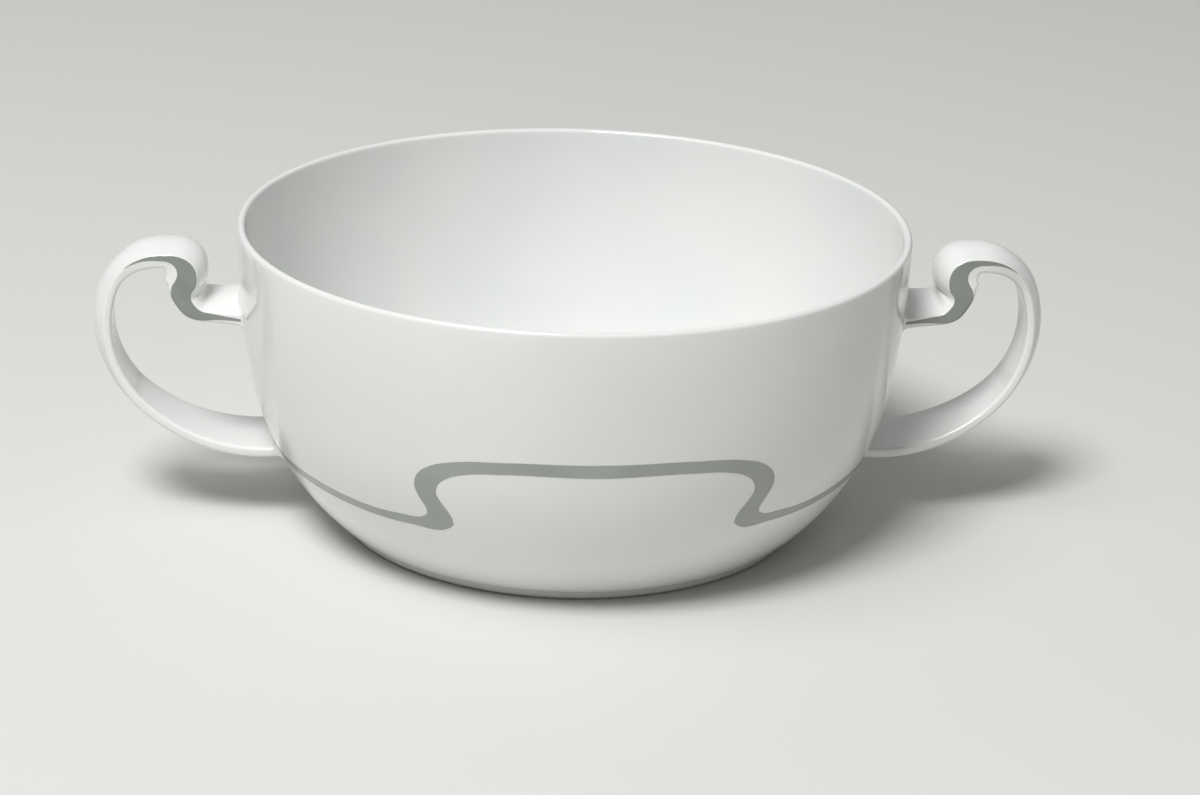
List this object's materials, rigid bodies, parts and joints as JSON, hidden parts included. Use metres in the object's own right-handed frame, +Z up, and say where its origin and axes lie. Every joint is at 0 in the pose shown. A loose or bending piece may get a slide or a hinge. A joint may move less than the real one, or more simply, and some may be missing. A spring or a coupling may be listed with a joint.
{
  "type": "bouillon cup",
  "caption": "Low, wide porcelain soup cup on a small foot ring, with a scrolled ribbon handle on each side.",
  "frame": {"origin": "centre of the foot ring, on the surface that the cup stands on", "axes": "+Z up through the mouth; +X through one handle, the other handle is on -X"},
  "size_m": [0.1682, 0.118, 0.054],
  "materials": {
    "glazed_porcelain": "gloss",
    "grey_line": "gloss",
    "bare_foot": "matte"
  },
  "bodies": {
    "root": {"bouillon_cup": "glazed_porcelain"}
  },
  "joints": []
}
